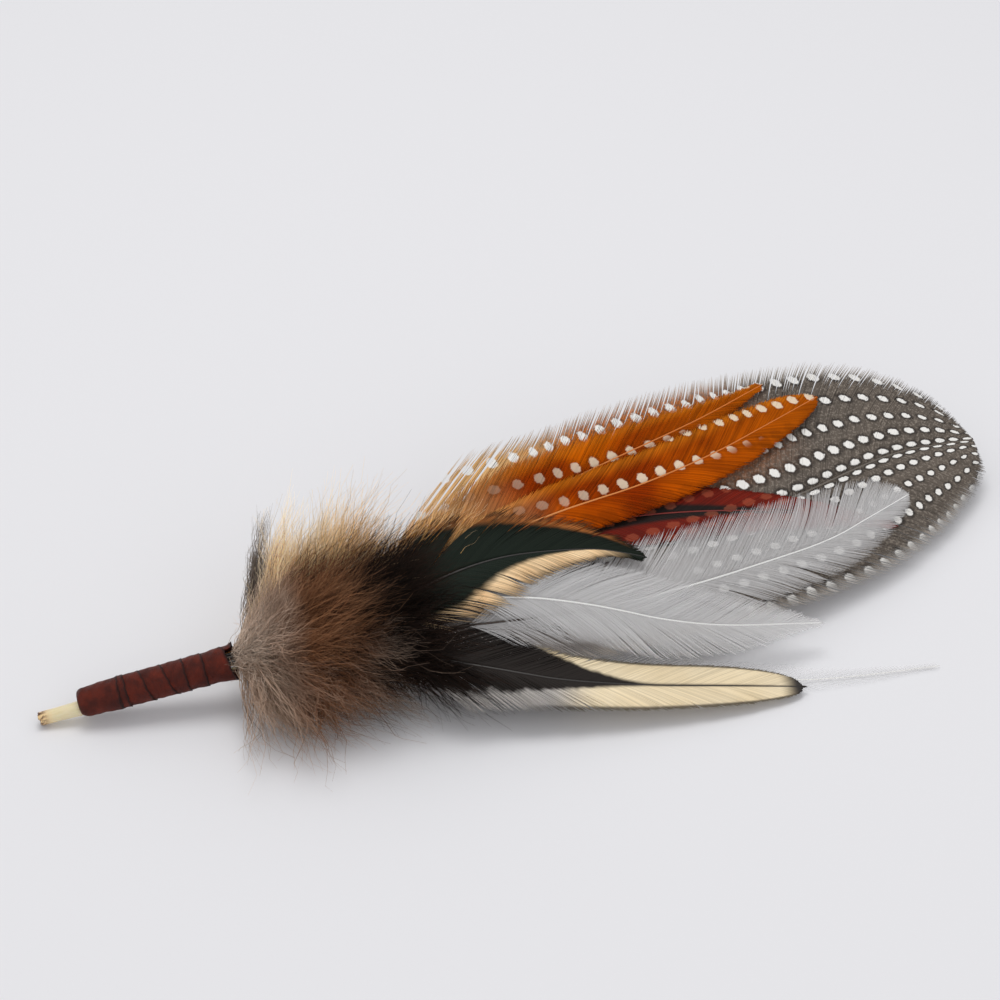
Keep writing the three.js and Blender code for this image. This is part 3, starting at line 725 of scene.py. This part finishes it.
def shaft_material(name, root, tip, low=0.2, high=0.9):
    """From the root's colour to the tip's between the shares low and high of the length."""
    n = Nodes(name, 0.4)
    u, v = n.uv("Shaft")
    colour = n.mix(n.step(u, low, high), root, tip)
    streak = n.noise(n.vector(n.times(u, 40.0), n.times(v, 9.0)), 3.0)
    dark = n.mix(1.0, colour, (0.5, 0.48, 0.45, 1), "MULTIPLY")
    return n.colour(n.mix(n.times(streak, 0.35), colour, dark))


def make_feather(feather, barb_material, shaft_look):
    look = {**PLAIN_LOOK, **LOOKS[feather.name]}
    for side, which in ((1, "upper"), (-1, "lower")):
        stand_in(barb_mesh(feather, side, look, barb_material), f"{feather.name}_vane_{which}")
    make_shaft = quill_mesh if feather is SPOTTED else shaft_mesh
    stand_in(make_shaft(feather, shaft_look), feather.name + "_shaft")


# ---------- the grip: ribbon, and the quill's open end ----------

class Grip:
    """The middle line and outer radius of the ribbon wrap, read from its CAD node."""

    def __init__(self):
        points = node_points("ribbon_wrap")
        middle = points.mean(0)
        axis = np.linalg.svd(points - middle, full_matrices=False)[2][0]
        self.axis = axis * np.sign(axis[0])              # towards the feathers
        along = (points - middle) @ self.axis
        self.rear = middle + self.axis * along.max()
        self.length = along.max() - along.min()
        self.side = np.cross([0, 0, 1.0], self.axis)
        self.side /= np.linalg.norm(self.side)
        self.up = np.cross(self.axis, self.side)
        back = along.max() - along
        reach = np.linalg.norm(points - middle - along[:, None] * self.axis, axis=1)
        rings = clusters(back, 0.01)
        self.back = np.array([back[ring].mean() for ring in rings])
        self.outer = np.array([reach[ring].max() for ring in rings])

    def radius(self, back):
        return np.interp(back, self.back, self.outer)

    def at(self, back, angle, radius):
        """The point at a distance in front of the rear rim, round the grip's line."""
        spoke = np.cos(angle)[..., None] * self.side + np.sin(angle)[..., None] * self.up
        return self.rear - self.axis * back[..., None] + spoke * radius[..., None]


RIBBON_WIDTH = 10.0
RIBBON_THICKNESS = 0.12
RIBBON_SLANT = 0.03              # each turn lies on the next one forward, so it tips this much
# Where the rear edge lies at each half turn, in mm in front of the rear rim.
RIBBON_EDGE = (
    0.0, 0.0, 1.6, 6.4, 6.2, 10.1, 10.4, 12.1, 14.8, 17.2, 19.3, 22.7, 22.9, 24.8, 24.3, 24.3, 24.3)
RIBBON_START = math.pi / 2
RIBBON_STEPS = 36                # rows to each half turn
RIBBON_ACROSS = 40               # points to each row
RIBBON_SMOOTHING = 15            # rows that each edge place is averaged over
RIBBON_LIP = 0.1                 # mm that the rear edge stands up, fading over RIBBON_LIP_WIDTH
RIBBON_LIP_WIDTH = 0.35
FRONT_ROUNDING = 1.2             # mm of the grip's front end that is rounded inwards


def ribbon_mesh(grip, material):
    """The ribbon wound from the rear rim to the front, and its length along its middle."""
    half_turns = len(RIBBON_EDGE) - 1
    steps, across = half_turns * RIBBON_STEPS, RIBBON_ACROSS
    turn = np.linspace(0, half_turns, steps)
    edge = np.interp(turn, np.arange(half_turns + 1), RIBBON_EDGE)
    kernel = np.hanning(RIBBON_SMOOTHING)
    edge = np.convolve(np.pad(edge, RIBBON_SMOOTHING // 2, "edge"), kernel / kernel.sum(), "valid")
    angle = RIBBON_START - turn * math.pi
    width = np.linspace(0, RIBBON_WIDTH, across)
    back = edge[:, None] + width[None, :]
    fray = 0.06 * np.sin(turn * 21.0) + 0.05 * np.sin(turn * 47.0 + 1)
    back = back + fray[:, None] * (1 - width / RIBBON_WIDTH)[None, :]
    beyond = np.maximum(back - grip.length, 0)
    rounding = 0.5 * np.clip((back - grip.length + FRONT_ROUNDING) / FRONT_ROUNDING, 0, 1) ** 2
    envelope = grip.radius(np.minimum(back, grip.length - 0.05))
    round_grip = np.broadcast_to(angle[:, None], back.shape)
    lift = 0.05 * np.sin(round_grip * 3 + back * 1.3) + 0.03 * np.sin(round_grip * 7 - back * 2.9 + 2)
    lip = RIBBON_LIP * np.exp(-width / RIBBON_LIP_WIDTH)[None, :] * (0.6 + 0.4 * np.sin(turn * 9.0))[:, None]
    radius = envelope - RIBBON_SLANT * width[None, :] - rounding - beyond * 0.9 + lift + lip
    back = np.minimum(back, grip.length + 0.25 * np.sin(np.clip(beyond, 0, 1.5) * 2.1))
    outer = grip.at(back, round_grip, radius)
    inner = grip.at(back, round_grip, radius - RIBBON_THICKNESS)
    points = np.concatenate([outer.reshape(-1, 3), inner.reshape(-1, 3)])
    top = np.arange(steps * across).reshape(steps, across)
    under = top + steps * across
    quads = [
        np.stack([top[:-1, :-1], top[1:, :-1], top[1:, 1:], top[:-1, 1:]], -1).reshape(-1, 4),
        np.stack([under[:-1, :-1], under[:-1, 1:], under[1:, 1:], under[1:, :-1]], -1).reshape(-1, 4),
        np.stack([top[:-1, 0], under[:-1, 0], under[1:, 0], top[1:, 0]], -1),
        np.stack([top[:-1, -1], top[1:, -1], under[1:, -1], under[:-1, -1]], -1),
        np.stack([top[0, :-1], top[0, 1:], under[0, 1:], under[0, :-1]], -1),
        np.stack([top[-1, :-1], under[-1, :-1], under[-1, 1:], top[-1, 1:]], -1),
    ]
    length = np.concatenate([[0], np.cumsum(np.linalg.norm(np.diff(outer[:, across // 2], axis=0), axis=1))])
    u = np.broadcast_to(length[:, None], back.shape).reshape(-1)
    v = np.broadcast_to(width[None, :], back.shape).reshape(-1)
    maps = {"Cloth": np.tile(np.stack([u, v], 1), (2, 1))}
    piece = mesh_object("wound_ribbon", points, [np.concatenate(quads)], material, maps)
    return piece, length[-1]


def ribbon_material():
    n = Nodes("ribbon_cloth", 0.5, Specular_IOR_Level=0.22)
    u, v = n.uv("Cloth")
    weft = n.noise(n.vector(n.times(u, 9.0), n.times(v, 1.1)), 1.6, 2.0)
    warp = n.noise(n.vector(n.times(u, 0.8), n.times(v, 7.0), 5.0), 1.3, 2.0)
    patches = n.noise(n.vector(u, v, 9.0), 0.35, 2.0)
    grain = n.plus(n.times(weft, 0.6), n.times(warp, 0.4))
    colour = n.mix(n.step(patches, 0.3, 0.7), srgb(74, 20, 7), srgb(110, 34, 12))
    colour = n.mix(n.times(n.step(grain, 0.35, 0.62), 0.5), colour, srgb(46, 15, 10))
    edge = n.step(v, 0.7, 0.0)
    colour = n.mix(n.times(edge, 0.9), colour, srgb(24, 9, 7))
    n.bump(grain, 0.9, 0.0003)
    return n.colour(colour)


QUILL_WALL = 0.24                # share of the quill's radius
QUILL_BORE = 9.5                 # mm deep
QUILL_BORE_RINGS = 30
QUILL_RINGS = 220
QUILL_SIDES = 28
QUILL_STAIN = 2.6                # mm from the broken end


def quill_mesh(feather, material):
    """The spotted feather's quill and shaft. The rings run from the bottom of the bore out to the
    broken end, and back along the outside to the tip."""
    bore = np.linspace(QUILL_BORE, 0, QUILL_BORE_RINGS)
    s = np.concatenate([bore, [0, 0.06, 0.18], np.linspace(0.4, feather.length, QUILL_RINGS)])
    radius = np.interp(s, feather.s, feather.radius) * np.interp(s, [0, 14, 40], [1.0, 1.0, SHAFT_SHARE])
    radius[:QUILL_BORE_RINGS] *= 1 - QUILL_WALL
    radius[QUILL_BORE_RINGS:QUILL_BORE_RINGS + 2] -= (0.1, 0.04)     # the worn outer edge of the end
    angle = 2 * np.pi * np.arange(QUILL_SIDES) / QUILL_SIDES
    chips = 0.16 * np.sin(angle * 2 + 1) + 0.12 * np.sin(angle * 5) + 0.08 * np.sin(angle * 9 + 2) + 0.16
    here = s[:, None] + chips[None, :] * np.exp(-s / 0.5)[:, None]
    side, up = frame_along(feather.along(s))
    flatten = np.interp(s, [0, 10, 30], [0.94, 1.0, 0.9])[:, None, None]
    ring = np.cos(angle)[None, :, None] * side[:, None] + np.sin(angle)[None, :, None] * up[:, None] * flatten
    points = (feather.at(here) + ring * radius[:, None, None]).reshape(-1, 3)
    inside = (np.arange(len(s)) <= QUILL_BORE_RINGS) * 1.0
    maps = {
        "Shaft": tube_map(s / feather.length, angle),
        "Quill": np.stack([here.reshape(-1), np.repeat(inside, QUILL_SIDES)], 1),
    }
    return mesh_object("spotted_quill", points, tube_faces(len(s), QUILL_SIDES), material, maps)


def quill_material():
    n = Nodes("quill_keratin", 0.28, Coat_Weight=0.25, Subsurface_Weight=0.25)
    n.shader.inputs["Subsurface Radius"].default_value = (1.0, 0.7, 0.4)
    n.shader.inputs["Subsurface Scale"].default_value = 0.001
    _, turn = n.uv("Shaft")
    s, inside = n.uv("Quill")
    streaks = n.noise(n.vector(n.times(s, 0.25), n.times(turn, 14.0)), 1.5, 2.0)
    colour = n.mix(streaks, srgb(222, 202, 152), srgb(242, 230, 198))
    colour = n.mix(n.step(s, 30.0, 110.0), colour, srgb(104, 96, 86))
    blots = n.noise(n.place(), 1500.0, 2.0)
    stain = n.times(n.step(s, QUILL_STAIN, 0.3), n.step(blots, 0.4, 0.55))
    colour = n.mix(n.times(n.step(s, QUILL_STAIN + 1.5, 0.6), 0.55), colour, srgb(226, 176, 104))
    colour = n.mix(stain, colour, srgb(96, 58, 26))
    # the inside of the bore is painted dark brown: painted shade in the hollow
    colour = n.mix(n.times(inside, 0.6), colour, srgb(60, 34, 18))
    return n.colour(colour)


# ---------- down ----------

DOWN_NEAR_LIMIT = (46.0, 9.0)    # mm towards -Y where hairs start to ease off, and the room past it
DOWN_TOP_LIMIT = (34.0, 6.0)     # the same for height
DOWN_STEPS = 9                   # points to each hair
DOWN_FIRST = 0.3                 # mm behind the grip's rear rim, where the first hairs are rooted
DOWN_REST = 0.25                 # mm over the table where hairs come to rest
DOWN_ZONES = ((0.004, 0.016), (0.018, 0.034))    # metres behind the rim where the colours change


def turned(polar, azimuth):
    """Unit vectors at an angle from +X; azimuth 0 is +Y, and 90 degrees is up."""
    out = np.sin(polar)
    return np.stack([np.cos(polar), out * np.cos(azimuth), out * np.sin(azimuth)], axis=-1)


def eased(value, start, room):
    """value, with whatever goes past start squeezed into room."""
    return np.minimum(value, start) + room * np.tanh(np.maximum(value - start, 0) / room)


def down_paths(look, count):
    """The middle lines of count hairs, the share along each, and the lock that each belongs to."""
    locks = max(count // look["per_lock"], 1)
    low, high = look["polar"]
    polar = np.radians(rng.uniform(low, high, locks))
    azimuth = np.radians(rng.uniform(*look["azimuth"], locks))
    lock_root = rng.uniform(0, 1, locks) ** look["root_power"] * np.ptp(look["root"]) + look["root"][0]
    lock_length = rng.uniform(*look["length"], locks)
    lock_feather = rng.integers(0, len(look["on"]), locks)
    lock_curl = rng.normal(0, 1, (locks, 3))
    lock = rng.integers(0, locks, count)
    reach = np.maximum(lock_root[lock] + rng.normal(0, 0.7, count), DOWN_FIRST)
    root, along = np.zeros((count, 3)), np.zeros((count, 3))
    for i, name in enumerate(look["on"]):
        own = lock_feather[lock] == i
        s = FEATHERS[name].s_at_x(GRIP.rear[0] + reach[own])
        root[own], along[own] = FEATHERS[name].at(s), FEATHERS[name].along(s)
    root += rng.normal(0, look["root_scatter"], (count, 3))
    steepest = np.interp(reach, (DOWN_FIRST, look["cone"]), (look["rim_angle"], look["steepest"]))
    polar = np.minimum(polar[lock] + rng.normal(0, look["spread"], count), steepest)
    azimuth = azimuth[lock] + rng.normal(0, look["spread"], count)
    aim = turned(polar, azimuth)
    rise = turned(np.minimum(polar + look["upright"], steepest + 0.15), azimuth)
    aim += (along - (1, 0, 0)) * np.cos(polar)[:, None]
    length = lock_length[lock] * rng.uniform(0.55, 1.05, count)
    t = np.linspace(0, 1, DOWN_STEPS)[None, :, None]
    end = root + aim * length[:, None]
    lock_size = np.maximum(np.bincount(lock, minlength=locks), 1)[:, None]
    lock_end = np.stack([np.bincount(lock, end[:, k], locks) for k in range(3)], axis=1) / lock_size
    end = (1 - look["gather"]) * end + look["gather"] * lock_end[lock]
    start, bend, end = root[:, None], (root + rise * length[:, None] * 0.5)[:, None], end[:, None]
    path = (1 - t) ** 2 * start + 2 * t * (1 - t) * bend + t**2 * end
    wave = rng.uniform(1.2, 3.0, (count, 1, 3))
    offset = rng.uniform(0, 6.28, (count, 1, 3))
    curl = np.sin(2 * np.pi * wave * t + offset) - np.sin(offset)
    path = path + curl * look["curl"] * t**1.2
    path = path + lock_curl[lock][:, None] * look["lock_curl"] * t**2
    rest = DOWN_REST + rng.uniform(0, 1.0, (count, 1)) * look["table_lift"]
    height = path[..., 2]
    path[..., 2] = np.where(height < rest + 1, rest + np.exp(np.minimum(height - rest - 1, 0)), height)
    path[..., 1] = -eased(-path[..., 1], *DOWN_NEAR_LIMIT)
    path[..., 2] = eased(path[..., 2], *DOWN_TOP_LIMIT)
    return path, t[0, :, 0], lock


def make_tuft(name, node, count, material, **changes):
    """One piece of down, as DOWN_LOOK has it apart from the changes."""
    look = {**DOWN_LOOK, **changes}
    paths, t, lock = down_paths(look, count)
    taper = np.clip((1.05 - t) * 2.2, 0.3, 1)[None, :]
    widths = rng.uniform(0.6, 1.2, (count, 1)) * look["hair"] * taper
    across = rng.normal(0, 1, (count, 1, 3)) * np.ones((1, len(t), 1))
    points, faces = strands(paths, widths, widths * 0.8, across)
    tone = rng.random(lock.max() + 1)[lock] * 0.7 + rng.random(count) * 0.3
    maps = {"Down": strand_map(tone[:, None], t[None, :])}
    stand_in(mesh_object(name, points, faces, material, maps), node)


def down_material(name, near, middle, far, tips, tip_share):
    """The colours near the grip, further on and far from it, and that of the hairs' tips."""
    n = Nodes(name, 0.8, Specular_IOR_Level=0.12)
    split = n.tree.nodes.new("ShaderNodeSeparateXYZ")
    n.tree.links.new(n.place(), split.inputs[0])
    tone, t = n.uv("Down")
    x = n.plus(split.outputs[0], n.jitter(130.0, 2.0, 0.012))
    rim = float(GRIP.rear[0]) * MM
    colour = near
    for (start, end), further in zip(DOWN_ZONES, (middle, far)):
        colour = n.mix(n.step(x, rim + start, rim + end), colour, further)
    colour = n.mix(n.times(n.step(t, 0.55, 1.0), tip_share), colour, tips)
    dark = n.mix(1.0, colour, (0.5, 0.48, 0.46, 1), "MULTIPLY")
    light = n.mix(1.0, colour, (1.45, 1.45, 1.45, 1), "MULTIPLY")
    return n.colour(n.mix(tone, dark, light))


# on: the feathers that the hairs grow from. root: mm behind the grip's rim, crowding to it with
# root_power. polar, azimuth: degrees, as in turned(). gather: how far a lock's tips draw together.
# spread, upright: radians that a hair leans out of its lock, or starts steeper. rim_angle, steepest: the
# greatest polar angle in radians at the rim and from cone mm on. The other sizes are mm.
DOWN_LOOK = {
    "on": ("green", "cream", "white_short"), "root": (0.5, 15.0), "root_power": 1.2, "polar": (30, 80),
    "azimuth": (0, 360), "length": (14, 21), "per_lock": 18, "gather": 0.35, "spread": 0.2, "upright": 0.4,
    "rim_angle": 0.85, "steepest": 1.45, "cone": 9.0, "root_scatter": 0.6, "curl": 0.9, "lock_curl": 2.6,
    "table_lift": 1.5, "hair": 0.115,
}

# For each kind of down: near, middle, far and tip colours, and how much the tips show.
DOWN_COLOURS = {
    "taupe": ((216, 196, 178), (142, 96, 64), (34, 22, 17), (186, 142, 108), 0.25),
    "under": ((184, 158, 138), (138, 94, 66), (50, 36, 30), (196, 172, 152), 0.4),
    "dark": ((90, 62, 46), (52, 34, 25), (26, 20, 17), (78, 52, 36), 0.25),
    "tan": ((248, 224, 186), (254, 222, 168), (242, 188, 112), (255, 244, 222), 0.5),
    "grey": ((128, 116, 106), (120, 106, 96), (120, 106, 96), (196, 186, 176), 0.6),
}


def make_down():
    taupe, under, dark, tan, grey = (
        down_material(kind + "_down", *(srgb(*colour) for colour in colours), tip_share)
        for kind, (*colours, tip_share) in DOWN_COLOURS.items())
    make_tuft("brown_down_1", "fluff_top", 3300, taupe, azimuth=(42, 115), polar=(35, 82), length=(11, 18),
              root=(0.1, 18))
    make_tuft("brown_down_2", "fluff_top", 3000, taupe, azimuth=(90, 190), polar=(30, 78), length=(13, 21),
              root=(0.1, 18))
    make_tuft("brown_down_3", "fluff_top", 3300, taupe, azimuth=(55, 220), polar=(15, 60), length=(18, 27),
              root=(0.1, 18))
    make_tuft("dark_upper_down", "fluff_top", 3800, dark, on=("green", "green", "cream"), azimuth=(-5, 130),
              polar=(18, 60), root=(6, 31), length=(14, 23))
    make_tuft("dark_lower_down", "fluff_top", 3800, dark, on=("cream", "cream", "white_short"),
              azimuth=(20, 290), polar=(12, 56), root=(6, 36), length=(12, 21), per_lock=14, gather=0.2)
    make_tuft("lower_down", "fluff_under", 3400, under, azimuth=(160, 250), polar=(35, 96), length=(15, 26),
              table_lift=4.0, rim_angle=1.1, per_lock=14, root=(0.2, 23), gather=0.6)
    make_tuft("long_lower_down", "fluff_under", 460, under, azimuth=(180, 240), polar=(46, 108),
              length=(24, 35), table_lift=5.0, rim_angle=1.5, steepest=1.8, per_lock=4, root=(1, 24),
              curl=1.3, gather=0.15, hair=0.13)
    make_tuft("dark_fringe_down", "fluff_under", 900, dark, on=("cream",), azimuth=(170, 215),
              polar=(26, 50), length=(12, 19), root=(12, 42), root_power=1.0, per_lock=10, gather=0.15,
              curl=0.4, lock_curl=1.0, rim_angle=1.2)
    make_tuft("tan_back_down", "fluff_back", 3900, tan, on=("orange_long", "orange_short", "spotted"),
              azimuth=(-15, 75), polar=(38, 90), length=(17, 28), root=(1, 25), hair=0.11, root_power=0.9,
              gather=0.2, lock_curl=2.5)
    make_tuft("tan_base_down", "fluff_back", 1500, tan, on=("orange_long", "orange_long", "spotted"),
              azimuth=(-15, 40), polar=(18, 50), length=(10, 18), root=(18, 46), root_power=0.9, curl=0.4,
              lock_curl=1.2, hair=0.1)
    make_tuft("grey_side_down", "fluff_tuft", 330, grey, on=("spotted", "orange_long"), azimuth=(25, 50),
              polar=(72, 86), length=(23, 32), root=(4, 9), per_lock=60, upright=0.15, spread=0.07,
              rim_angle=1.5, gather=0.7, hair=0.12)


# ---------- the scene ----------

make_camera()
light_the_scene()
make_floor()

FEATHERS = {name: Feather(name) for name in LOOKS}
SPOTTED = FEATHERS["spotted"]
GRIP = Grip()

white = white_material("white_barbs", 0.3)
BARB_MATERIALS = {
    "spotted": spotted_material(), "red": red_material(),
    "orange_long": orange_material("orange_long_barbs", srgb(150, 52, 0), srgb(206, 98, 0), 0.62),
    "orange_short": orange_material("orange_short_barbs", srgb(140, 46, 0), srgb(200, 88, 0), 0.76),
    "white_long": white, "white_short": white, "white_low": white_material("white_low_barbs", 0.3),
    "green": green_material(), "cream": cream_material(),
}
SHAFT_MATERIALS = {
    "spotted": quill_material(),
    "red": shaft_material("red_rachis", srgb(150, 40, 25), srgb(120, 30, 20)),
    "orange": shaft_material("orange_rachis", srgb(236, 168, 96), srgb(214, 120, 40)),
    "white_long": shaft_material("white_long_rachis", srgb(60, 48, 40), srgb(240, 240, 238), 0.5, 0.58),
    "white_short": shaft_material("white_short_rachis", srgb(60, 48, 40), srgb(240, 240, 238), 0.42, 0.48),
    "faint": shaft_material("faint_rachis", srgb(255, 254, 250), srgb(255, 254, 250)),
    "dark": shaft_material("dark_rachis", srgb(74, 70, 66), srgb(30, 26, 24)),
}
SHAFT_OF = {
    "spotted": "spotted", "red": "red", "orange_long": "orange", "orange_short": "orange",
    "white_long": "white_long", "white_short": "white_short", "white_low": "faint",
    "green": "dark", "cream": "dark",
}
for name, feather in FEATHERS.items():
    make_feather(feather, BARB_MATERIALS[name], SHAFT_MATERIALS[SHAFT_OF[name]])

ribbon, ribbon_length = ribbon_mesh(GRIP, ribbon_material())
stand_in(ribbon, "ribbon_wrap")
make_down()
